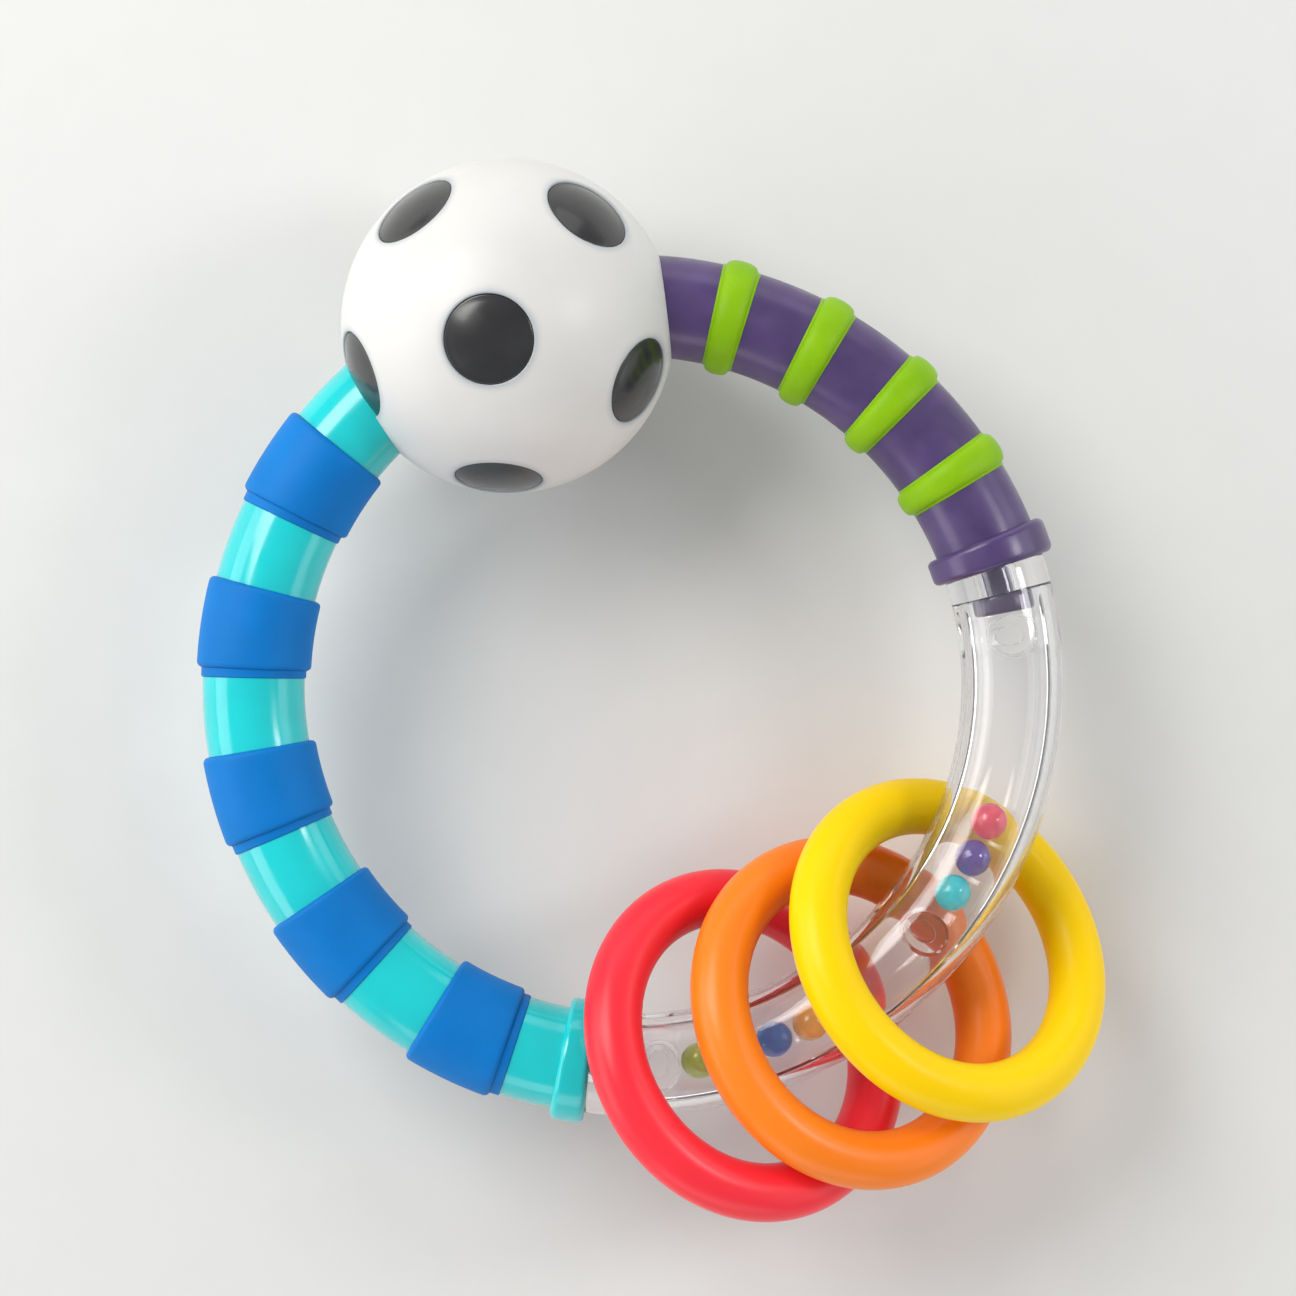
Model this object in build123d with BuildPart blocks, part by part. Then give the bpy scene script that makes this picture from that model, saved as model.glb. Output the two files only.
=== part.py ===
from build123d import *
import os
from math import acos, asin, cos, degrees, radians, sin, sqrt

os.makedirs("parts", exist_ok=True)

# Baby rattle, in millimetres: a round hand ring of tube with a big ball at the top.
# The hand ring lies in the XY plane with its centre at the origin, and +Z is its upper side.
# Places along the hand ring are angles in degrees, counterclockwise from +X seen from above.

# Hand ring
ringRadius = 52.4
tubeRadius = 7.0

# Ball: a white cover in two halves over a black core whose round spots fill the cover's windows
ballAngle = 109.2
ballRadius = 23.0
coverWall = 1.9
coreWall = 1.8
spotRadius = 6.1
spotDome = 0.12
spotGap = 0.05
patternTilt = 11.1
patternHeading = -111.5
patternSpin = 20.2
patternLatitude = degrees(asin(1 / sqrt(5)))
bossRadius = 2.6
bossOffset = 11.0
pinRadius = 1.6
pinLength = 3.4
pinGap = 0.05

# Arms: hollow coloured tubes in two halves, held in the ball by a flange
armWall = 2.0
armGap = 0.06
flangeHeight = 1.6
flangeWidth = 2.0
flangeSlack = 0.25
skinGap = 0.03
seatDepth = 0.7

# Soft green bands round the purple arm
greenFirst = 33.4
greenPitch = 13.97
greenCount = 4
greenWidth = 5.2
greenCrown = 1.0
greenLip = 0.15

# Soft blue bands round the teal arm, each with a low step on its far side
blueFirst = 141.0
bluePitch = 24.35
blueCount = 5
blueSpan = 12.2
blueHeight = 0.85
blueBevel = 0.4
stepSpan = 1.3
stepHeight = 0.3

# Plugs: a collar between arm and clear tube, a neck and head held by the clear tube's end wall,
# and a spigot into the arm
purpleCollar = 20.2
tealCollar = -98.8
collarSpan = 4.6
collarLift = 1.5
collarRound = 0.9
neckRadius = 1.95
headRadius = 4.2
headSpan = 2.9
headRound = 0.5
headSlack = 0.1
spigotSpan = 6.0
spigotWall = 1.5
plugGap = 0.06

# Clear tube with round posts that part it into chambers
clearWall = 1.6
endWallSpan = 3.9
postSlack = 0.55
postShift = -1.0
postRadius = 2.7

# Loose balls in the clear tube, each with its slack after the post or ball before it
beadRadius = 2.6
beadGap = 0.3
beadLean = 14.0
beadsAfterMiddle = (("teal", 1.2), ("purple", 0.1), ("pink", 0.1))
beadsAfterFirst = (("green", 0.1), ("blue", 5.7), ("yellow", 0.1))

# Loose rings on the clear tube, listed from the teal collar on.
# Each has its centre's offset outwards from the hand ring and the heading that it leans to.
linkRadius = 21.0
linkThickness = 3.95
linkGap = 0.3
linkRests = (("red", -0.6, 38.0), ("orange", 1.9, 39.0), ("yellow", 4.4, 43.0))

# Derived sizes
coverInner = ballRadius - coverWall
coreOuter = coverInner - skinGap
coreInner = coreOuter - coreWall
armBore = tubeRadius - armWall
seatRadius = tubeRadius - seatDepth
collarRadius = tubeRadius + collarLift
flangeRadius = tubeRadius + flangeHeight
flangeReach = coreInner - flangeSlack
flangeRim = ringRadius + flangeRadius
clearBore = tubeRadius - clearWall
clearStart = tealCollar + collarSpan / 2
clearEnd = purpleCollar - collarSpan / 2
clearMiddle = (clearStart + clearEnd) / 2
headInset = endWallSpan + headSlack
postInset = headInset + headSpan + postSlack + degrees(postRadius / ringRadius)
firstPost = clearStart + postInset
middlePost = clearMiddle + postShift
lastPost = clearEnd - postInset
postTop = clearBore + clearWall / 2
beadOffset = clearBore - beadRadius - beadGap
beadTrack = ringRadius + beadOffset * sin(radians(beadLean))
beadHeight = -beadOffset * cos(radians(beadLean))


def chordAngle(chord, radius=ringRadius):
    # angle along a circle that a straight distance spans
    return 2 * degrees(asin(chord / 2 / radius))


def onRing(angle, radius=ringRadius, height=0.0):
    # a point at an angle round the origin
    return (radius * cos(radians(angle)), radius * sin(radians(angle)), height)


def crossPlane(angle):
    # upright plane through the origin that cuts the hand ring square, local x pointing outwards
    x = cos(radians(angle))
    y = sin(radians(angle))
    return Plane(origin=(0, 0, 0), x_dir=(x, y, 0), z_dir=(y, -x, 0))


def sweepRound(start, span, outer, inner=0.0, mode=Mode.ADD):
    # a stretch of round rod or tube that follows the hand ring
    with BuildSketch(crossPlane(start)) as section:
        with Locations((ringRadius, 0)):
            Circle(outer)
            if inner:
                Circle(inner, mode=Mode.SUBTRACT)
    revolve(section.sketch, axis=Axis.Z, revolution_arc=span, mode=mode)


def rimEdges(radius):
    # the circular edges of one radius on the part in hand
    return [e for e in edges().filter_by(GeomType.CIRCLE) if abs(e.radius - radius) < 0.001]


def keepHalf(side):
    split(bisect_by=Plane.XY, keep=side)


def finish(builder, name):
    builder.part.label = name
    export_step(builder.part, "parts/" + name + ".step")


# Ball directions: one spot at each corner of an icosahedron
tiltCos = cos(radians(patternTilt))
tiltSin = sin(radians(patternTilt))
headCos = cos(radians(patternHeading))
headSin = sin(radians(patternHeading))
poleAxis = Vector(tiltSin * headCos, tiltSin * headSin, tiltCos)
outAxis = Vector(tiltCos * headCos, tiltCos * headSin, -tiltSin)
sideAxis = Vector(-headSin, headCos, 0)
latitude = radians(patternLatitude)
spots = [poleAxis]
for i in range(5):
    turn = radians(patternSpin + 72 * i)
    flat = outAxis * cos(turn) + sideAxis * sin(turn)
    spots.append(poleAxis * sin(latitude) + flat * cos(latitude))
spots = spots + [spot * -1 for spot in spots]
ballCentre = onRing(ballAngle)
bosses = [onRing(ballAngle, ringRadius + shift) for shift in (-bossOffset, bossOffset)]


def spotLocations():
    return [Plane(origin=ballCentre, z_dir=spot).location for spot in spots]


def cutArmWay():
    # the way that both arms take through the ball's walls
    reach = chordAngle(ballRadius) + 6
    sweepRound(ballAngle - reach, 2 * reach, tubeRadius + armGap, mode=Mode.SUBTRACT)


upAlign = (Align.CENTER, Align.CENTER, Align.MIN)
downAlign = (Align.CENTER, Align.CENTER, Align.MAX)

# Two posts that join the core's halves, trimmed to end inside its wall
with BuildPart() as bossPosts:
    with Locations(bosses):
        Cylinder(bossRadius, 2 * ballRadius)
    with Locations(ballCentre):
        Sphere(coreInner + coreWall / 2, mode=Mode.INTERSECT)

for half, side in (("upper", Keep.TOP), ("lower", Keep.BOTTOM)):
    with BuildPart() as ballCover:
        with Locations(ballCentre):
            Sphere(ballRadius)
            Sphere(coverInner, mode=Mode.SUBTRACT)
        with Locations(spotLocations()):
            Cylinder(spotRadius + spotGap, ballRadius + 1, align=upAlign, mode=Mode.SUBTRACT)
        cutArmWay()
        keepHalf(side)
    finish(ballCover, "ball_cover_" + half)

    with BuildPart() as ballCore:
        with Locations(spotLocations()):
            Cylinder(spotRadius, ballRadius + 1, align=upAlign)
        with Locations(ballCentre):
            Sphere(ballRadius + spotDome, mode=Mode.INTERSECT)
            Sphere(coreOuter)
            Sphere(coreInner, mode=Mode.SUBTRACT)
        add(bossPosts.part)
        cutArmWay()
        keepHalf(side)
        for boss in bosses:
            with Locations(boss):
                if half == "upper":
                    Cylinder(pinRadius, pinLength, align=downAlign)
                else:
                    Cylinder(pinRadius + pinGap, pinLength + 1, align=downAlign, mode=Mode.SUBTRACT)
    finish(ballCore, "ball_core_" + half)

# Arms
flangeCosine = (ringRadius**2 + flangeRim**2 - flangeReach**2) / (2 * ringRadius * flangeRim)
flangeSpan = degrees(flangeWidth / ringRadius)
flangeInnerAngle = degrees(acos(flangeCosine)) - flangeSpan
purpleStart = purpleCollar + collarSpan / 2
purpleEnd = ballAngle - flangeInnerAngle
tealStart = ballAngle + flangeInnerAngle
tealEnd = tealCollar - collarSpan / 2 + 360


def bandPlane(angle):
    # upright plane along the hand ring's tangent, local x along the tube and local y up
    x = cos(radians(angle))
    y = sin(radians(angle))
    return Plane(origin=onRing(angle), x_dir=(-y, x, 0), z_dir=(x, y, 0))


def bandAxis(angle):
    return Axis(onRing(angle), (-sin(radians(angle)), cos(radians(angle)), 0))


greenAngles = [greenFirst + greenPitch * i for i in range(greenCount)]
blueAngles = [blueFirst + bluePitch * i for i in range(blueCount)]
blueStepped = blueSpan + stepSpan
blueRadius = tubeRadius + blueHeight

for half, side in (("upper", Keep.TOP), ("lower", Keep.BOTTOM)):
    with BuildPart() as purpleArm:
        sweepRound(purpleStart, purpleEnd - purpleStart, tubeRadius, armBore)
        sweepRound(purpleEnd - flangeSpan, flangeSpan, flangeRadius, armBore)
        for angle in greenAngles:
            with BuildSketch(bandPlane(angle)) as seat:
                with Locations((0, seatRadius - skinGap)):
                    seatWidth = greenWidth + 2 * skinGap
                    Rectangle(seatWidth, seatDepth + 1, align=(Align.CENTER, Align.MIN))
            revolve(seat.sketch, axis=bandAxis(angle), mode=Mode.SUBTRACT)
        keepHalf(side)
    finish(purpleArm, "purple_arm_" + half)

    with BuildPart() as tealArm:
        sweepRound(tealStart, tealEnd - tealStart, tubeRadius, armBore)
        sweepRound(tealStart, flangeSpan, flangeRadius, armBore)
        for angle in blueAngles:
            seatInner = seatRadius - skinGap
            sweepRound(angle, blueStepped, tubeRadius + 1, seatInner, mode=Mode.SUBTRACT)
        keepHalf(side)
    finish(tealArm, "teal_arm_" + half)

greenEdge = greenWidth / 2
lipNear = (-greenEdge, tubeRadius + greenLip)
lipFar = (greenEdge, tubeRadius + greenLip)
for i, angle in enumerate(greenAngles):
    with BuildPart() as greenBand:
        with BuildSketch(bandPlane(angle)) as crowned:
            with BuildLine():
                Polyline(lipNear, (-greenEdge, seatRadius), (greenEdge, seatRadius), lipFar)
                ThreePointArc(lipNear, (0, tubeRadius + greenCrown), lipFar)
            make_face()
        revolve(crowned.sketch, axis=bandAxis(angle))
    finish(greenBand, "green_band_" + str(i + 1))

for i, angle in enumerate(blueAngles):
    with BuildPart() as blueBand:
        sweepRound(angle, blueSpan, blueRadius, seatRadius)
        chamfer(rimEdges(blueRadius), length=blueBevel)
        sweepRound(angle + blueSpan, stepSpan, tubeRadius + stepHeight, seatRadius)
    finish(blueBand, "blue_band_" + str(i + 1))

# Plugs. The clear tube lies clockwise of the purple collar and counterclockwise of the teal one.
spigotRadius = armBore - plugGap
plugs = {}
for name, collar, towardArm in (("purple_plug", purpleCollar, 1), ("teal_plug", tealCollar, -1)):
    armFace = collar + towardArm * collarSpan / 2
    clearFace = collar - towardArm * collarSpan / 2
    with BuildPart() as plug:
        sweepRound(collar - collarSpan / 2, collarSpan, collarRadius)
        fillet(rimEdges(collarRadius), radius=collarRound)
        headNear = clearFace - towardArm * headInset
        headFar = headNear - towardArm * headSpan
        sweepRound(min(headNear, headFar), headSpan, headRadius)
        fillet(rimEdges(headRadius), radius=headRound)
        sweepRound(min(clearFace, headNear), headInset, neckRadius)
        spigotEnd = armFace + towardArm * spigotSpan
        sweepRound(min(armFace, spigotEnd), spigotSpan, spigotRadius, spigotRadius - spigotWall)
    finish(plug, name)
    plugs[name] = plug.part

# Clear tube
posts = (firstPost, middlePost, lastPost)
for half, side in (("upper", Keep.TOP), ("lower", Keep.BOTTOM)):
    with BuildPart() as clearTube:
        sweepRound(clearStart, clearEnd - clearStart, tubeRadius, clearBore)
        sweepRound(clearStart, endWallSpan, tubeRadius, neckRadius + plugGap)
        sweepRound(clearEnd - endWallSpan, endWallSpan, tubeRadius, neckRadius + plugGap)
        keepHalf(side)
        for angle in posts:
            with Locations(onRing(angle)):
                if half == "upper":
                    Cylinder(postRadius, postTop, align=upAlign)
                    Cylinder(pinRadius, pinLength, align=downAlign)
                else:
                    Cylinder(postRadius, postTop, align=downAlign)
                    Cylinder(pinRadius + pinGap, pinLength + 0.3, align=downAlign, mode=Mode.SUBTRACT)
    finish(clearTube, "clear_tube_" + half)

# Loose balls
touchPost = chordAngle(postRadius + beadRadius + beadGap, beadTrack)
touchBead = chordAngle(2 * beadRadius + beadGap, beadTrack)
for startPost, beads in ((middlePost, beadsAfterMiddle), (firstPost, beadsAfterFirst)):
    place = startPost + touchPost - touchBead
    for colour, slack in beads:
        place += touchBead + slack
        with BuildPart() as bead:
            with Locations(onRing(place, beadTrack, beadHeight)):
                Sphere(beadRadius)
        print("bead", colour, round(place, 2))
        finish(bead, "bead_" + colour)


# Loose rings: each leans on the tube as far as it can, against the collar or the ring before it
def linkPlane(angle, outward, heading, lean):
    tilt = radians(lean)
    toX = cos(radians(heading))
    toY = sin(radians(heading))
    upright = (sin(tilt) * toX, sin(tilt) * toY, cos(tilt))
    across = (-toY, toX, 0)
    return Plane(origin=onRing(angle, ringRadius + outward), x_dir=across, z_dir=upright)


def leanOnTube(angle, outward, heading):
    # the smallest lean at which the loose ring clears the hand ring
    reach = tubeRadius + linkThickness + linkGap
    handRing = Edge.make_circle(ringRadius)
    low = 15.0
    high = 75.0
    while high - low > 0.05:
        middle = (low + high) / 2
        loop = Edge.make_circle(linkRadius, linkPlane(angle, outward, heading, middle))
        if loop.distance_to(handRing) < reach:
            low = middle
        else:
            high = middle
    return high


place = clearStart + chordAngle(linkRadius * 0.8)
stop = plugs["teal_plug"]
stopReach = linkThickness + linkGap
for colour, outward, heading in linkRests:
    while True:
        lean = leanOnTube(place, outward, heading)
        plane = linkPlane(place, outward, heading, lean)
        loop = Edge.make_circle(linkRadius, plane)
        if loop.distance_to(stop) >= stopReach:
            break
        place += 0.25
    with BuildPart() as link:
        with Locations(plane.location):
            Torus(linkRadius, linkThickness)
    print("ring", colour, round(place, 2), "lean", round(lean, 1))
    finish(link, colour + "_ring")
    stop = loop
    stopReach = 2 * linkThickness + linkGap
    place += 5.0
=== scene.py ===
from math import acos, asin, atan, cos, degrees, pi, radians, sin, sqrt, tan

import bmesh
import bpy
from mathutils import Matrix, Vector


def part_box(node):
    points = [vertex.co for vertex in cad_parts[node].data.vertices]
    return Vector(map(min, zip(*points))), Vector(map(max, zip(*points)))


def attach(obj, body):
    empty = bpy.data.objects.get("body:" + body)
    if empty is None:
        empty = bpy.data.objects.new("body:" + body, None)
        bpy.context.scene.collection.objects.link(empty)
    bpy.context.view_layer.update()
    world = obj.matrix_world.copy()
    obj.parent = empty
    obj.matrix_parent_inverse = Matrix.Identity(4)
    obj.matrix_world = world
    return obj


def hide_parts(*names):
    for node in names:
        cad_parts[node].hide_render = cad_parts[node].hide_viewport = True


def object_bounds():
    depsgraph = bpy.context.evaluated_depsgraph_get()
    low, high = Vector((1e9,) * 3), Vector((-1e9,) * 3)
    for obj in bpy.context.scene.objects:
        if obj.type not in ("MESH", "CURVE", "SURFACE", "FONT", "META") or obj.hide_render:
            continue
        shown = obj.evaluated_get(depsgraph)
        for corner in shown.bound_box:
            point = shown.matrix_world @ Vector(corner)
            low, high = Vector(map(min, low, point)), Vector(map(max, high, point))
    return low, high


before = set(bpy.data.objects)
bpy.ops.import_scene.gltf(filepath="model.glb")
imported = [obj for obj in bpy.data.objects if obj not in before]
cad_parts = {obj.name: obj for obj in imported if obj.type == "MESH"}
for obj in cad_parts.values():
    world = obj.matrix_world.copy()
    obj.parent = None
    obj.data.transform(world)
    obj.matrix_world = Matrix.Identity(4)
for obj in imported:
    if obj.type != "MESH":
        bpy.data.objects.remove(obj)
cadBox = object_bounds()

# Baby rattle. Lengths in the dictionaries are millimetres and angles are degrees.
mm = 0.001
hand = {"radius": 52.4, "tube": 7.0, "bore": 5.0, "seat": 6.3}


def pick(item):
    # only this object is selected and active
    bpy.ops.object.select_all(action="DESELECT")
    item.select_set(True)
    bpy.context.view_layer.objects.active = item


def edit(item, what="VERT"):
    pick(item)
    bpy.ops.object.mode_set(mode="EDIT")
    bpy.ops.mesh.select_mode(type=what)
    bpy.ops.mesh.select_all(action="SELECT")


def done(item, angle=35):
    # rounded shading, but for edges sharper than the angle
    pick(item)
    bpy.ops.object.shade_smooth_by_angle(angle=radians(angle))
    return item


def faceOut(item):
    edit(item, "FACE")
    bpy.ops.mesh.normals_make_consistent(inside=False)
    bpy.ops.object.mode_set(mode="OBJECT")


def applyAll(item):
    pick(item)
    for modifier in list(item.modifiers):
        bpy.ops.object.modifier_apply(modifier=modifier.name)


def place(item, body, slot, material, *nodes):
    # gives a finished piece its body and material, and hides the nodes that it stands for
    item.data.materials.clear()
    item.data.materials.append(material)
    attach(item, body)
    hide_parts(*nodes)


# ---- turned pieces: a profile of (along, radius) points turned about the tube's own line
def turned(name, profile, turn=360, start=0, steps=96):
    bpy.ops.object.select_all(action="DESELECT")
    fill = "NGON" if turn < 360 else "NOTHING"
    bpy.ops.mesh.primitive_circle_add(vertices=len(profile), fill_type=fill)
    item = bpy.context.object
    item.name = name
    item.data.name = name
    first = radians(start)
    for vertex, (along, radius) in zip(item.data.vertices, profile):
        vertex.co = (along * mm, radius * mm * cos(first), radius * mm * sin(first))
    edit(item)
    bpy.ops.mesh.spin(steps=steps, angle=radians(turn), center=(0, 0, 0), axis=(1, 0, 0))
    bpy.ops.mesh.select_all(action="SELECT")
    bpy.ops.mesh.remove_doubles(threshold=0.000002)
    bpy.ops.mesh.select_all(action="SELECT")
    bpy.ops.mesh.normals_make_consistent(inside=False)
    bpy.ops.object.mode_set(mode="OBJECT")
    return item


def bendOnRing(item, angle):
    # along the tube becomes an angle round the hand ring, counterclockwise from the given one
    ring = hand["radius"] * mm
    for vertex in item.data.vertices:
        turn = radians(angle) + vertex.co.x / ring
        reach = ring + vertex.co.y
        vertex.co = (reach * cos(turn), reach * sin(turn), vertex.co.z)
    item.data.update()
    faceOut(item)  # bending mirrors the piece, which turns its faces inwards


def arc(span):
    # millimetres along the hand ring for an angle
    return radians(span) * hand["radius"]


def line(start, end, step=0.9):
    # points along a straight part of a profile, so that it can bend
    count = max(1, round(abs(end[0] - start[0]) / step))
    return [
        (start[0] + (end[0] - start[0]) * i / count, start[1] + (end[1] - start[1]) * i / count)
        for i in range(count + 1)
    ]


def corner(centre, radius, first, last, count=5):
    # a rounded corner of a profile, by the angles where it starts and ends
    points = []
    for i in range(count + 1):
        turn = radians(first + (last - first) * i / count)
        points.append((centre[0] + radius * cos(turn), centre[1] + radius * sin(turn)))
    return points


def softenSeam(item, width):
    # a fine bevel along the edges where two half shells meet
    edit(item, "EDGE")
    bpy.ops.mesh.select_all(action="DESELECT")
    bpy.ops.object.mode_set(mode="OBJECT")
    points = item.data.vertices
    seamEdges = set()
    for face in item.data.polygons:
        if all(abs(points[index].co.z) < 1e-6 for index in face.vertices):
            seamEdges.update(face.edge_keys)
    for edge in item.data.edges:
        edge.select = edge.key in seamEdges
    bpy.ops.object.mode_set(mode="EDIT")
    bpy.ops.mesh.bevel(offset=width * mm, segments=2, affect="EDGES")
    bpy.ops.object.mode_set(mode="OBJECT")


# ---- shader maths: a socket that adds Maths nodes when it is used in an expression
class Value:
    def __init__(self, tree, socket):
        self.tree = tree
        self.socket = socket

    def maths(self, operation, first, second):
        return self.tree.node("ShaderNodeMath", {"operation": operation}, {0: first, 1: second})

    def __add__(self, other):
        return self.maths("ADD", self, other)

    def __radd__(self, other):
        return self.maths("ADD", other, self)

    def __sub__(self, other):
        return self.maths("SUBTRACT", self, other)

    def __rsub__(self, other):
        return self.maths("SUBTRACT", other, self)

    def __mul__(self, other):
        return self.maths("MULTIPLY", self, other)

    def __rmul__(self, other):
        return self.maths("MULTIPLY", other, self)

    def __pow__(self, other):
        return self.maths("POWER", self, other)


class Finish:
    # one material and its nodes
    def __init__(self, name):
        self.material = bpy.data.materials.new(name)
        self.material.use_nodes = True
        self.nodes = self.material.node_tree.nodes
        self.links = self.material.node_tree.links
        self.shader = self.nodes["Principled BSDF"]

    def node(self, kind, settings=None, values=None, output=0):
        made = self.nodes.new(kind)
        for key, value in (settings or {}).items():
            setattr(made, key, value)
        for key, value in (values or {}).items():
            if isinstance(value, Value):
                self.links.new(value.socket, made.inputs[key])
            else:
                made.inputs[key].default_value = value
        return Value(self, made.outputs[output])

    def feed(self, socket, value):
        self.links.new(value.socket, self.shader.inputs[socket])

    def fixed(self, **constants):
        for key, value in constants.items():
            self.shader.inputs[key.replace("_", " ")].default_value = value

    def place(self):
        return self.node("ShaderNodeTexCoord", output="Object")

    def noise(self, scale, detail=3.0, rough=0.5, warp=0.0):
        values = {
            "Vector": self.place(), "Scale": scale, "Detail": detail, "Roughness": rough,
            "Distortion": warp,
        }
        return self.node("ShaderNodeTexNoise", values=values, output="Fac")

    def band(self, value, low, high, start=0.0, end=1.0):
        values = {"Value": value, "From Min": low, "From Max": high, "To Min": start, "To Max": end}
        return self.node("ShaderNodeMapRange", {"clamp": True}, values, output="Result")

    def blend(self, factor, first, second):
        # a Mix node's two colours are its sockets 6 and 7, and the mixed one is output 2
        values = {0: factor}
        for slot, colour in ((6, first), (7, second)):
            values[slot] = colour if isinstance(colour, Value) else (*colour, 1.0)
        return self.node("ShaderNodeMix", {"data_type": "RGBA"}, values, output=2)

    def bump(self, height, strength, distance):
        values = {"Height": height, "Strength": strength, "Distance": distance * mm}
        self.feed("Normal", self.node("ShaderNodeBump", values=values, output="Normal"))


# ---- materials
def mouldedPlastic(name, look):
    # hard coloured plastic: faint flow clouds, an uneven polish and a fine moulded skin
    finish = Finish(name)
    clouds = finish.noise(look["clouds"], 2.0, 0.5, 0.3)
    shade = finish.band(clouds, 0.35, 0.68)
    finish.feed("Base Color", finish.blend(shade, look["deep"], look["colour"]))
    polish = finish.noise(look["clouds"] * 2.3, 1.0, 0.5)
    finish.feed("Roughness", finish.band(polish, 0.3, 0.7, look["smooth"], look["rough"]))
    skin = finish.noise(look["skin"], 2.0, 0.5)
    waves = finish.noise(look["clouds"] * 0.8, 1.0, 0.5)
    finish.bump(waves * look["wave"] + skin * look["grain"], 1.0, 0.05)
    finish.fixed(
        IOR=1.5, Specular_IOR_Level=look["shine"], Coat_Weight=look["coat"],
        Coat_Roughness=look["coatRough"],
    )
    finish.fixed(
        Subsurface_Weight=look["glow"], Subsurface_Radius=(0.003, 0.002, 0.0015),
        Subsurface_Scale=0.6,
    )
    return finish.material


def softPlastic(name, look):
    # soft rubbery plastic: a fine speckled skin, uneven in colour and polish
    finish = Finish(name)
    speckle = finish.noise(look["skin"], 3.0, 0.7)
    clouds = finish.noise(look["clouds"], 3.0, 0.5)
    shade = finish.band(clouds + speckle * 0.25, 0.45, 0.8)
    finish.feed("Base Color", finish.blend(shade, look["deep"], look["colour"]))
    finish.feed("Roughness", finish.band(speckle, 0.3, 0.7, look["smooth"], look["rough"]))
    finish.bump(speckle, look["grain"], 0.06)
    finish.fixed(IOR=1.46, Specular_IOR_Level=0.2)
    finish.fixed(
        Subsurface_Weight=look["glow"], Subsurface_Radius=(0.003, 0.002, 0.0012),
        Subsurface_Scale=0.6,
    )
    return finish.material


hardLooks = {
    "purple": {
        "colour": (0.076, 0.038, 0.156), "deep": (0.052, 0.026, 0.114), "shine": 0.6,
        "smooth": 0.30, "rough": 0.46, "coat": 0.3, "coatRough": 0.2, "clouds": 150.0,
        "skin": 2600.0, "wave": 1.6, "grain": 0.04, "glow": 0.05,
    },
    "teal": {
        "colour": (0.0, 0.620, 0.635), "deep": (0.0, 0.565, 0.585), "shine": 0.5,
        "smooth": 0.14, "rough": 0.26, "coat": 0.5, "coatRough": 0.12, "clouds": 95.0,
        "skin": 2200.0, "wave": 3.5, "grain": 0.015, "glow": 0.15,
    },
    "red": {
        "colour": (0.98, 0.030, 0.050), "deep": (0.95, 0.024, 0.043), "shine": 0.3,
        "smooth": 0.30, "rough": 0.40, "coat": 0.1, "coatRough": 0.25, "clouds": 45.0,
        "skin": 2000.0, "wave": 0.7, "grain": 0.012, "glow": 0.25,
    },
    "orange": {
        "colour": (1.0, 0.240, 0.010), "deep": (0.99, 0.220, 0.008), "shine": 0.3,
        "smooth": 0.30, "rough": 0.40, "coat": 0.1, "coatRough": 0.25, "clouds": 45.0,
        "skin": 2000.0, "wave": 0.7, "grain": 0.012, "glow": 0.25,
    },
    "yellow": {
        "colour": (1.0, 0.660, 0.0), "deep": (1.0, 0.620, 0.0), "shine": 0.15,
        "smooth": 0.30, "rough": 0.40, "coat": 0.05, "coatRough": 0.25, "clouds": 45.0,
        "skin": 2000.0, "wave": 0.7, "grain": 0.012, "glow": 0.25,
    },
    "black": {
        "colour": (0.022, 0.022, 0.023), "deep": (0.014, 0.014, 0.015), "shine": 0.5,
        "smooth": 0.2, "rough": 0.33, "coat": 0.5, "coatRough": 0.16, "clouds": 120.0,
        "skin": 2600.0, "wave": 0.2, "grain": 0.02, "glow": 0.0,
    },
}
softLooks = {
    "lime": {
        "colour": (0.27, 0.52, 0.004), "deep": (0.215, 0.45, 0.003), "smooth": 0.36,
        "rough": 0.5, "clouds": 130.0, "skin": 3000.0, "grain": 0.12, "glow": 0.2,
    },
    "blue": {
        "colour": (0.0, 0.185, 0.57), "deep": (0.0, 0.160, 0.50), "smooth": 0.48,
        "rough": 0.64, "clouds": 110.0, "skin": 3000.0, "grain": 0.14, "glow": 0.12,
    },
}
beadLooks = {
    "teal": (0.02, 0.70, 0.76),
    "purple": (0.13, 0.06, 0.36),
    "pink": (1.0, 0.08, 0.14),
    "green": (0.52, 0.60, 0.02),
    "blue": (0.02, 0.16, 0.62),
    "yellow": (1.0, 0.42, 0.02),
}
paints = {name: mouldedPlastic(name + "Plastic", look) for name, look in hardLooks.items()}
paints.update({name: softPlastic(name + "Soft", look) for name, look in softLooks.items()})


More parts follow.
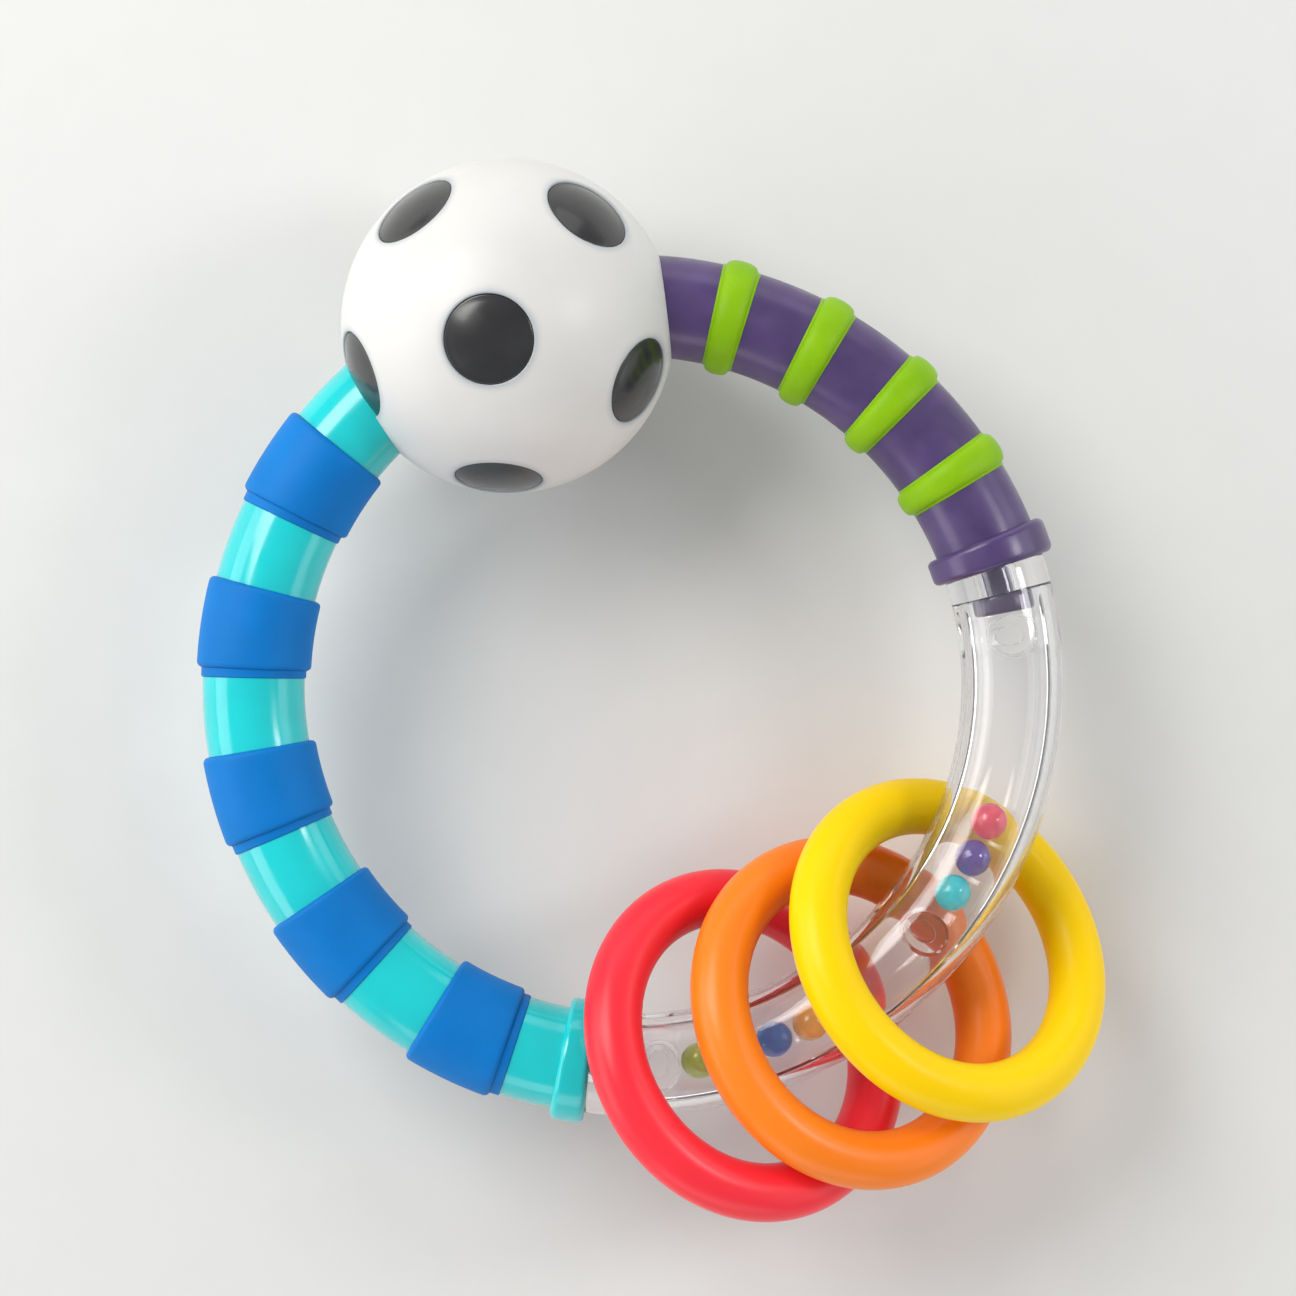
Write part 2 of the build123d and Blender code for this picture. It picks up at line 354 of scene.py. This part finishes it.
def whiteCover():
    # warm white satin cover, with a cool grey shade painted round each window's rim
    finish = Finish("whiteCover")
    # painted shade: the rim layer marks where the colour turns cool grey round each window
    rimShade = finish.node("ShaderNodeAttribute", {"attribute_name": "rim"}, output="Fac")
    clouds = finish.noise(55.0, 4.0, 0.55)
    speckle = finish.noise(2400.0, 2.0, 0.6)
    body = finish.blend(finish.band(clouds, 0.35, 0.7), (0.68, 0.668, 0.645), (0.72, 0.71, 0.685))
    shadeAmount = finish.band(rimShade + (clouds - 0.5) * 0.12, 0.0, 1.0) ** 1.6
    finish.feed("Base Color", finish.blend(shadeAmount * 0.8, body, (0.36, 0.40, 0.43)))
    finish.feed("Roughness", finish.band(speckle, 0.3, 0.7, 0.36, 0.5))
    finish.bump(speckle * 0.25 + clouds * 0.8, 0.6, 0.05)
    finish.fixed(IOR=1.48, Coat_Weight=0.12, Coat_Roughness=0.3)
    finish.fixed(Subsurface_Weight=0.3, Subsurface_Radius=(0.003, 0.0026, 0.0022), Subsurface_Scale=0.7)
    return finish.material


def clearPlastic():
    # polished clear plastic, hardly tinted
    finish = Finish("clearPlastic")
    flow = finish.noise(45.0, 2.0, 0.5, 0.8)
    finish.feed("Roughness", finish.band(flow, 0.4, 0.75, 0.012, 0.05))
    finish.bump(flow, 0.35, 0.05)
    finish.fixed(Base_Color=(0.975, 0.972, 0.982, 1.0), IOR=1.49, Transmission_Weight=0.98)
    return finish.material


def beadPlastic(name, colour):
    # glossy tinted ball with a faint painted glow, which stands in for the light that the clear tube's
    # shadow takes away
    finish = Finish(name + "Bead")
    clouds = finish.noise(260.0, 3.0, 0.5, 0.5)
    dark = tuple(c * 0.72 for c in colour)
    finish.feed("Base Color", finish.blend(finish.band(clouds, 0.35, 0.7), dark, colour))
    finish.feed("Roughness", finish.band(clouds, 0.3, 0.7, 0.08, 0.18))
    finish.fixed(IOR=1.5, Coat_Weight=0.6, Coat_Roughness=0.05, Subsurface_Weight=0.15)
    finish.fixed(Subsurface_Radius=(0.002, 0.0015, 0.001), Subsurface_Scale=0.5)
    # painted light: a faint emission in the bead's own colour
    finish.fixed(Emission_Color=(*colour, 1.0), Emission_Strength=0.16)
    return finish.material


print("materials ready")

# ---- arms: hollow tubes in two halves, with seats for the soft bands
arms = {
    "purple": {"start": 22.5, "end": 94.13, "flange": "end", "seats": []},
    "teal": {"start": 124.27, "end": 258.9, "flange": "start", "seats": []},
}
blueBand = {
    "first": 141.0, "pitch": 24.35, "count": 5, "body": 12.2, "step": 1.3, "rise": 0.85,
    "stepRise": 0.2, "round": 0.72,
}
greenBand = {
    "first": 33.4, "pitch": 13.97, "count": 4, "width": 4.7,
    "crown": 1.0, "film": 0.07, "bulge": 4.0,
}
flange = {"height": 1.6, "width": 2.0}
seamBevel = 0.12
for i in range(greenBand["count"]):
    middle = greenBand["first"] + greenBand["pitch"] * i
    arms["purple"]["seats"].append((middle, greenBand["width"] + 0.04))
for i in range(blueBand["count"]):
    middle = blueBand["first"] + blueBand["pitch"] * i + (blueBand["body"] + blueBand["step"]) / 2
    arms["teal"]["seats"].append((middle, arc(blueBand["body"] + blueBand["step"]) + 0.06))


def armProfile(values):
    # outer line with its seats and flange, then the bore back to the start
    length = arc(values["end"] - values["start"])
    outer = hand["tube"]
    points = []
    at = 0.0
    if values["flange"] == "start":
        points += line((0, outer + flange["height"]), (flange["width"], outer + flange["height"]))
        at = flange["width"]
    for middle, width in values["seats"]:
        centre = arc(middle - values["start"])
        points += line((at, outer), (centre - width / 2, outer))
        points += line((centre - width / 2, hand["seat"] - 0.03), (centre + width / 2, hand["seat"] - 0.03))
        at = centre + width / 2
    if values["flange"] == "end":
        points += line((at, outer), (length - flange["width"], outer))
        rise = outer + flange["height"]
        points += line((length - flange["width"], rise), (length, rise))
    else:
        points += line((at, outer), (length, outer))
    points += line((length, hand["bore"]), (0, hand["bore"]))
    return points


for name, values in arms.items():
    profile = armProfile(values)
    for half, start in (("upper", 0), ("lower", 180)):
        shell = turned(name + "Arm_" + half, profile, 180, start, 48)
        bendOnRing(shell, values["start"])
        softenSeam(shell, seamBevel)
        done(shell)
        place(shell, "frame", name + "_shell", paints[name], name + "_arm_" + half)
print("arms ready")


# ---- soft bands
def greenProfile(values):
    half = values["width"] / 2
    swell = values["bulge"] / 2
    film = hand["tube"] + values["film"]
    points = [(-half, hand["seat"]), (-half, film - 0.05), (-half + 0.05, film)]
    count = 18
    for i in range(count + 1):
        across = -swell + 2 * swell * i / count
        lift = (1 - abs(across / swell) ** 2.3) ** 0.5 if abs(across) < swell else 0.0
        points.append((across, film + (values["crown"] - values["film"]) * lift))
    points += [(half - 0.05, film), (half, film - 0.05), (half, hand["seat"])]
    points += line((half, hand["seat"]), (-half, hand["seat"]))[1:-1]
    return points


for i in range(greenBand["count"]):
    band = turned("greenBand_" + str(i + 1), greenProfile(greenBand), steps=128)
    bendOnRing(band, greenBand["first"] + greenBand["pitch"] * i)
    done(band, 50)
    place(band, "frame", "lime_soft", paints["lime"], "green_band_" + str(i + 1))


def blueProfile(values):
    length = arc(values["body"])
    far = length + arc(values["step"])
    high = hand["tube"] + values["rise"]
    low = hand["tube"] + values["stepRise"]
    turn = values["round"]
    points = corner((turn, high - turn), turn, 180, 90)
    points += line((turn, high), (length - turn, high))[1:-1]
    points += corner((length - turn, high - turn), turn, 90, 0)
    points += corner((length + 0.12, low + 0.12), 0.12, 180, 270, 2)
    points += corner((far - 0.18, low - 0.18), 0.18, 90, 0, 3)
    points += line((far, hand["seat"]), (0, hand["seat"]))
    return points


for i in range(blueBand["count"]):
    band = turned("blueBand_" + str(i + 1), blueProfile(blueBand), steps=128)
    bendOnRing(band, blueBand["first"] + blueBand["pitch"] * i)
    done(band, 50)
    place(band, "frame", "blue_soft", paints["blue"], "blue_band_" + str(i + 1))
print("bands ready")

# ---- plugs: collar, neck and head, and the spigot inside the arm
plug = {
    "span": 4.6, "collar": 8.5, "round": 0.9, "neck": 1.95, "head": 4.2, "headRound": 0.6,
    "wall": 4.0, "headSpan": 2.9, "spigot": 6.0, "spigotRadius": 4.94, "spigotWall": 1.5,
}


def plugProfile(values):
    # from the head's tip towards the arm, with the collar's clear-tube face at zero
    wall = arc(values["wall"])
    tip = wall + arc(values["headSpan"])
    span = arc(values["span"])
    spigot = span + arc(values["spigot"])
    turn = values["round"]
    small = values["headRound"]
    points = [(-tip, 0.0)]
    points += corner((-tip + small, values["head"] - small), small, 180, 90)
    points += corner((-wall - 0.2, values["head"] - 0.2), 0.2, 90, 0, 3)
    points += [(-wall, values["neck"])] + line((-wall, values["neck"]), (0, values["neck"]))[1:]
    points += corner((turn, values["collar"] - turn), turn, 180, 90, 8)
    points += corner((span - turn, values["collar"] - turn), turn, 90, 0, 8)
    points += line((span, values["spigotRadius"]), (spigot, values["spigotRadius"]))
    inner = values["spigotRadius"] - values["spigotWall"]
    points += line((spigot, inner), (span + 0.5, inner))
    points += [(span + 0.5, 0.0)]
    return points


for name, collar, side in (("purple", 20.2, 1), ("teal", -98.8, -1)):
    profile = plugProfile(plug)
    if side < 0:
        profile = [(-along, radius) for along, radius in reversed(profile)]
    piece = turned(name + "Plug", profile, steps=128)
    bendOnRing(piece, collar - side * plug["span"] / 2)
    done(piece, 50)
    place(piece, "frame", name + "_shell", paints[name], name + "_plug")
print("plugs ready")

# ---- clear tube: one welded shell with end walls and round posts
clear = {
    "start": -96.5, "end": 17.9, "bore": 5.4, "wall": 3.9, "hole": 2.0, "edge": 0.25,
    "fillet": 0.35, "seamRib": 4.9, "ribHeight": 0.4, "postFoot": 2.95, "postWaist": 2.5,
    "pin": 1.35, "pinGap": 0.08, "pinLength": 3.4,
}
posts = (-86.1, -40.3, 7.5)


def clearProfile(values):
    length = arc(values["end"] - values["start"])
    wall = arc(values["wall"])
    outer = hand["tube"]
    edge = values["edge"]
    turn = values["fillet"]
    points = corner((edge, outer - edge), edge, 180, 90, 3)
    points += line((edge, outer), (length - edge, outer))[1:-1]
    points += corner((length - edge, outer - edge), edge, 90, 0, 3)
    points += line((length, values["hole"]), (length - wall, values["hole"]))
    points += corner((length - wall - turn, values["bore"] - turn), turn, 0, 90, 4)
    points += line((length - wall - turn, values["bore"]), (wall + turn, values["bore"]))[1:-1]
    points += corner((wall + turn, values["bore"] - turn), turn, 90, 180, 4)
    points += line((wall, values["hole"]), (0, values["hole"]))
    return points


def post(name, centre, profile):
    # an upright turned post at a place on the hand ring, its profile listed as (height, radius)
    item = turned(name, profile, steps=64)
    upright = Matrix.Rotation(radians(-90), 4, "Y")
    spot = (hand["radius"] * mm * cos(radians(centre)), hand["radius"] * mm * sin(radians(centre)), 0)
    item.data.transform(Matrix.Translation(spot) @ upright)
    return item


def combine(item, other, how):
    cut = item.modifiers.new("cut", "BOOLEAN")
    cut.operation = how
    cut.solver = "EXACT"
    cut.object = other
    applyAll(item)
    bpy.data.objects.remove(other)


tube = turned("clearTube", clearProfile(clear), steps=128)
tubeLength = arc(clear["end"] - clear["start"])
for vertex in tube.data.vertices:
    # a low rib runs along each side of the bore, where the two halves are welded
    along, y, z = vertex.co / mm
    inside = clear["wall"] + 1.2 < along < tubeLength - clear["wall"] - 1.2
    if inside and abs(z) < clear["ribHeight"] and clear["hole"] < abs(y) < clear["bore"] + 0.1:
        vertex.co.y = (clear["seamRib"] if y > 0 else -clear["seamRib"]) * mm
bendOnRing(tube, clear["start"])
reach = clear["bore"] + 0.8
foot = clear["postFoot"]
waist = clear["postWaist"]
pin = clear["pin"]
socket = pin + clear["pinGap"]
halfShape = [(2.6, waist), (3.9, foot), (reach, foot), (reach, 0)]
bossShape = [(-height, radius) for height, radius in reversed(halfShape)] + halfShape
gapShape = [(-clear["pinLength"], pin), (-clear["pinLength"], socket), (0.5, socket), (0.5, pin)]
for centre in posts:
    boss = post("boss", centre, bossShape)
    gap = post("gap", centre, gapShape + gapShape[:1])
    combine(boss, gap, "DIFFERENCE")
    combine(tube, boss, "UNION")
done(tube, 30)
place(tube, "frame", "clear_shell", clearPlastic(), "clear_tube_upper", "clear_tube_lower")
print("clear tube ready", len(tube.data.polygons))


# ---- beads: balls with a fine moulding line
beadBall = {"radius": 2.6, "lineHalf": 0.06, "lineShrink": 0.985}


def bead(name):
    low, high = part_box("bead_" + name)
    centre = (low + high) / 2
    bpy.ops.object.select_all(action="DESELECT")
    size = beadBall["radius"] * mm
    bpy.ops.mesh.primitive_uv_sphere_add(segments=64, ring_count=33, radius=size)
    item = bpy.context.object
    item.name = "bead_" + name + "_ball"
    for vertex in item.data.vertices:
        if abs(vertex.co.z) / size < beadBall["lineHalf"]:
            vertex.co *= beadBall["lineShrink"]
    # each ball lies turned its own way
    spin = Matrix.Rotation(radians(centre.x * 9000), 4, "X")
    spin = spin @ Matrix.Rotation(radians(centre.y * 7000), 4, "Y")
    item.data.transform(Matrix.Translation(centre) @ spin)
    done(item, 60)
    slot = "bead_amber" if name == "yellow" else "bead_" + name
    place(item, "bead_" + name, slot, beadPlastic(name, beadLooks[name]), "bead_" + name)


for name in beadLooks:
    bead(name)
print("beads ready")

# ---- loose rings, each leaning on the tube by its (heading, lean)
links = {"radius": 21.0, "thick": 3.95, "around": 192, "section": 64}
leans = {"red": (38.0, 37.56), "orange": (39.0, 34.86), "yellow": (43.0, 38.58)}


def looseRing(name, heading, lean):
    low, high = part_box(name + "_ring")
    centre = (low + high) / 2
    bpy.ops.object.select_all(action="DESELECT")
    bpy.ops.mesh.primitive_torus_add(
        major_segments=links["around"],
        minor_segments=links["section"],
        major_radius=links["radius"] * mm,
        minor_radius=links["thick"] * mm,
    )
    item = bpy.context.object
    item.name = name + "Ring"
    tilt = Matrix.Rotation(radians(heading), 4, "Z") @ Matrix.Rotation(radians(lean), 4, "Y")
    item.data.transform(Matrix.Translation(centre) @ tilt)
    done(item, 60)
    place(item, name + "_ring", name, paints[name], name + "_ring")


for name, (heading, lean) in leans.items():
    looseRing(name, heading, lean)
print("loose rings ready")

# ---- ball: each corner of an icosahedron carries a spot, and each spot has a five-sided tile
ball = {
    "angle": 109.2, "radius": 23.0, "coverIn": 21.1, "coreOut": 21.07, "coreIn": 19.27,
    "window": 5.98, "rim": 0.22, "spot": 5.93, "spotRim": 0.26, "dome": 0.12, "sag": 0.34,
    "tilt": 11.1, "heading": -111.5, "turn": 20.2, "around": 120, "seam": 0.035,
}
ballCentre = Vector((cos(radians(ball["angle"])), sin(radians(ball["angle"])), 0)) * hand["radius"] * mm


def spotAxes(values):
    tilt = radians(values["tilt"])
    head = radians(values["heading"])
    pole = Vector((sin(tilt) * cos(head), sin(tilt) * sin(head), cos(tilt)))
    out = Vector((cos(tilt) * cos(head), cos(tilt) * sin(head), -sin(tilt)))
    side = Vector((-sin(head), cos(head), 0))
    latitude = asin(1 / sqrt(5))
    axes = [pole]
    for i in range(5):
        turn = radians(values["turn"] + 72 * i)
        axes.append(pole * sin(latitude) + (out * cos(turn) + side * sin(turn)) * cos(latitude))
    return axes + [-axis for axis in axes]


def tiledShell(name, near, far, turnBack, values):
    # near and turnBack list rows round each spot as (distance from the axis, height, shade);
    # far gives rows out to the tile's edge as (share of the way, sphere radius, shade)
    axes = spotAxes(values)
    neighbour = acos(1 / sqrt(5))
    count = values["around"]
    mesh = bmesh.new()
    # the rim layer holds the painted shade that the cover lays round each window
    rim = mesh.verts.layers.float.new("rim")
    for axis in axes:
        beside = next(other for other in axes if abs(other.angle(axis) - neighbour) < 0.01)
        across = (beside - axis * beside.dot(axis)).normalized()
        square = axis.cross(across)
        rows = []
        for i in range(count):
            turn = 2 * pi * i / count
            way = across * cos(turn) + square * sin(turn)
            fold = (degrees(turn) + 36) % 72 - 36
            edge = atan(tan(neighbour / 2) / cos(radians(fold)))
            column = []
            for offset, height, shade in near:
                column.append((axis * height + way * offset, shade))
            lastTheta = atan(near[-1][0] / near[-1][1])
            for share, radius, shade in far:
                firstTheta = lastTheta if radius == far[0][1] else atan(turnBack[0][0] / turnBack[0][1])
                theta = firstTheta + (edge - firstTheta) * share
                column.append(((axis * cos(theta) + way * sin(theta)) * radius, shade))
            for offset, height, shade in turnBack:
                column.append((axis * height + way * offset, shade))
            rows.append(column)
        made = []
        outerEdge = len(near) + sum(1 for share, radius, shade in far if radius == far[0][1]) - 1
        for column in rows:
            spoke = []
            for point, shade in column:
                vertex = mesh.verts.new(ballCentre + point * mm)
                vertex[rim] = shade
                spoke.append(vertex)
            made.append(spoke)
        for i in range(count):
            here = made[i]
            there = made[(i + 1) % count]
            for j in range(len(here) - 1):
                if j != outerEdge:  # no wall between neighbouring tiles
                    mesh.faces.new((here[j], here[j + 1], there[j + 1], there[j]))
    bmesh.ops.remove_doubles(mesh, verts=mesh.verts, dist=0.002 * mm)
    bmesh.ops.recalc_face_normals(mesh, faces=mesh.faces)
    if near[0][0] == 0:
        # a whole ball within a ball: the inner one faces the hollow
        limit = (turnBack[-1][1] + 0.5) * mm
        inside = [face for face in mesh.faces if (face.calc_center_median() - ballCentre).length < limit]
        bmesh.ops.reverse_faces(mesh, faces=inside)
    data = bpy.data.meshes.new(name)
    mesh.to_mesh(data)
    mesh.free()
    item = bpy.data.objects.new(name, data)
    bpy.context.scene.collection.objects.link(item)
    return item


def coverRows(values):
    # the window's wall, its rounded rim, the outside and back along the inside
    window = values["window"]
    rim = values["rim"]
    top = sqrt(values["radius"] ** 2 - (window + rim) ** 2) - rim
    foot = sqrt(values["coverIn"] ** 2 - window**2)
    near = [(window, foot, 1.0), (window, (foot + top) / 2, 1.0)]
    for i in range(6):
        turn = radians(18 * i)
        near.append((window + rim * (1 - cos(turn)), top + rim * sin(turn), 1.0))
    shares = (0.02, 0.05, 0.09, 0.14, 0.2, 0.3, 0.42, 0.56, 0.7, 0.85, 1.0)
    # the third value is painted shade, strongest at the window's rim and gone a little way out
    far = [(share, values["radius"], max(0.0, 0.85 - share * 5.5)) for share in shares]
    far += [(share, values["coverIn"], 0.0) for share in (1.0, 0.75, 0.5, 0.25)]
    return near, far, [(window, foot, 1.0)]


def coreRows(values):
    # the spot's dome, its rounded edge and wall, the shell beside it and back along the inside
    spot = values["spot"]
    rim = values["spotRim"]
    reach = spot - rim
    near = []
    for i in range(9):
        offset = reach * i / 8
        height = sqrt((values["radius"] + values["dome"]) ** 2 - offset**2)
        height = height - values["sag"] * (offset / reach) ** 2.2
        near.append((offset, height, 0.0))
    edge = near[-1][1] - rim
    for i in range(1, 6):
        turn = radians(90 - 18 * i)
        near.append((reach + rim * cos(turn), edge + rim * sin(turn), 0.0))
    near.append((spot, sqrt(values["coreOut"] ** 2 - spot**2), 0.0))
    far = [(share, values["coreOut"], 0.0) for share in (0.33, 0.66, 1.0)]
    far += [(share, values["coreIn"], 0.0) for share in (1.0, 0.6, 0.3)]
    inner = [reach * share for share in (1.0, 0.5, 0.0)]
    turnBack = [(offset, sqrt(values["coreIn"] ** 2 - offset**2), 0.0) for offset in inner]
    return near, far, turnBack


def halves(item, names, gap):
    # cuts a ball shell at the hand ring's plane, with a hairline between the halves
    made = []
    for name, side in zip(names, (1, -1)):
        pick(item)
        bpy.ops.object.duplicate()
        half = bpy.context.object
        half.name = name
        half.data.name = name
        edit(half)
        bpy.ops.mesh.bisect(
            plane_co=(0, 0, side * gap * mm),
            plane_no=(0, 0, side),
            use_fill=True,
            clear_inner=True,
            threshold=0.0000001,
        )
        bpy.ops.mesh.select_all(action="SELECT")
        bpy.ops.mesh.normals_make_consistent(inside=False)
        bpy.ops.object.mode_set(mode="OBJECT")
        made.append(done(half, 30))
    bpy.data.objects.remove(item)
    return made


def armWay():
    # the round way that the arms take through the ball
    length = arc(64)
    points = line((-length / 2, hand["tube"] + 0.05), (length / 2, hand["tube"] + 0.05))
    points += [(length / 2, 0.0), (-length / 2, 0.0)]
    way = turned("armWay", points, steps=96)
    bendOnRing(way, ball["angle"])
    return way


coverMaterial = whiteCover()
near, far, back = coverRows(ball)
cover = tiledShell("cover", near, far, back, ball)
combine(cover, armWay(), "DIFFERENCE")
covers = halves(cover, ("ballCover_upper", "ballCover_lower"), ball["seam"])
for half, piece in zip(("upper", "lower"), covers):
    place(piece, "frame", "white_soft", coverMaterial, "ball_cover_" + half)
near, far, back = coreRows(ball)
core = tiledShell("core", near, far, back, ball)
combine(core, armWay(), "DIFFERENCE")
cores = halves(core, ("ballCore_upper", "ballCore_lower"), ball["seam"])
for half, piece in zip(("upper", "lower"), cores):
    place(piece, "frame", "black_shell", paints["black"], "ball_core_" + half)
print("ball ready")

# ---- floor, light and camera
studio = {"camera": (2.07, 5.11, 414.4), "lens": 83.33, "world": 0.40}
bpy.ops.object.select_all(action="DESELECT")
bpy.ops.mesh.primitive_plane_add(size=6.0, location=(0, 0, cadBox[0].z - 0.0002))
floor = bpy.context.object
floor.name = "floor"
floorFinish = Finish("floorPaper")
grain = floorFinish.noise(120.0, 4.0, 0.6)
floorFinish.feed("Base Color", floorFinish.blend(grain, (0.70, 0.70, 0.68), (0.73, 0.73, 0.71)))
floorFinish.fixed(Roughness=0.85)
floor.data.materials.append(floorFinish.material)

world = bpy.data.worlds.new("studio")
bpy.context.scene.world = world
world.use_nodes = True
background = world.node_tree.nodes["Background"]
background.inputs["Color"].default_value = (0.95, 0.97, 1.0, 1.0)
background.inputs["Strength"].default_value = studio["world"]


def lamp(name, position, size, power, colour):
    # an area light aimed at the middle of the hand ring
    bpy.ops.object.light_add(type="AREA", location=position)
    light = bpy.context.object
    light.name = name
    light.data.shape = "RECTANGLE"
    light.data.size = size[0]
    light.data.size_y = size[1]
    light.data.energy = power
    light.data.color = colour
    aim = -Vector(position)
    light.rotation_euler = aim.to_track_quat("-Z", "Y").to_euler()


lamp("keyLight", (-0.44, 0.38, 0.56), (0.5, 0.42), 4.3, (1.0, 0.985, 0.96))
lamp("fillLight", (0.45, 0.12, 0.4), (0.14, 0.14), 0.7, (0.97, 0.98, 1.0))
lamp("leftPanel", (-0.75, -0.05, 0.24), (1.0, 0.42), 3.0, (1.0, 1.0, 1.0))
lamp("rightPanel", (0.75, 0.0, 0.2), (1.0, 0.34), 1.5, (1.0, 1.0, 1.0))
lamp("backPanel", (0.0, 0.8, 0.2), (1.1, 0.34), 1.3, (1.0, 1.0, 1.0))
lamp("frontPanel", (0.0, -0.8, 0.2), (1.1, 0.34), 1.6, (1.0, 1.0, 1.0))

bpy.ops.object.camera_add(location=[value * mm for value in studio["camera"]], rotation=(0, 0, 0))
camera = bpy.context.object
camera.data.lens = studio["lens"]
camera.data.sensor_width = 36
camera.data.clip_start = 0.01
bpy.context.scene.camera = camera
bpy.context.scene.view_settings.view_transform = "Standard"
print("studio ready")
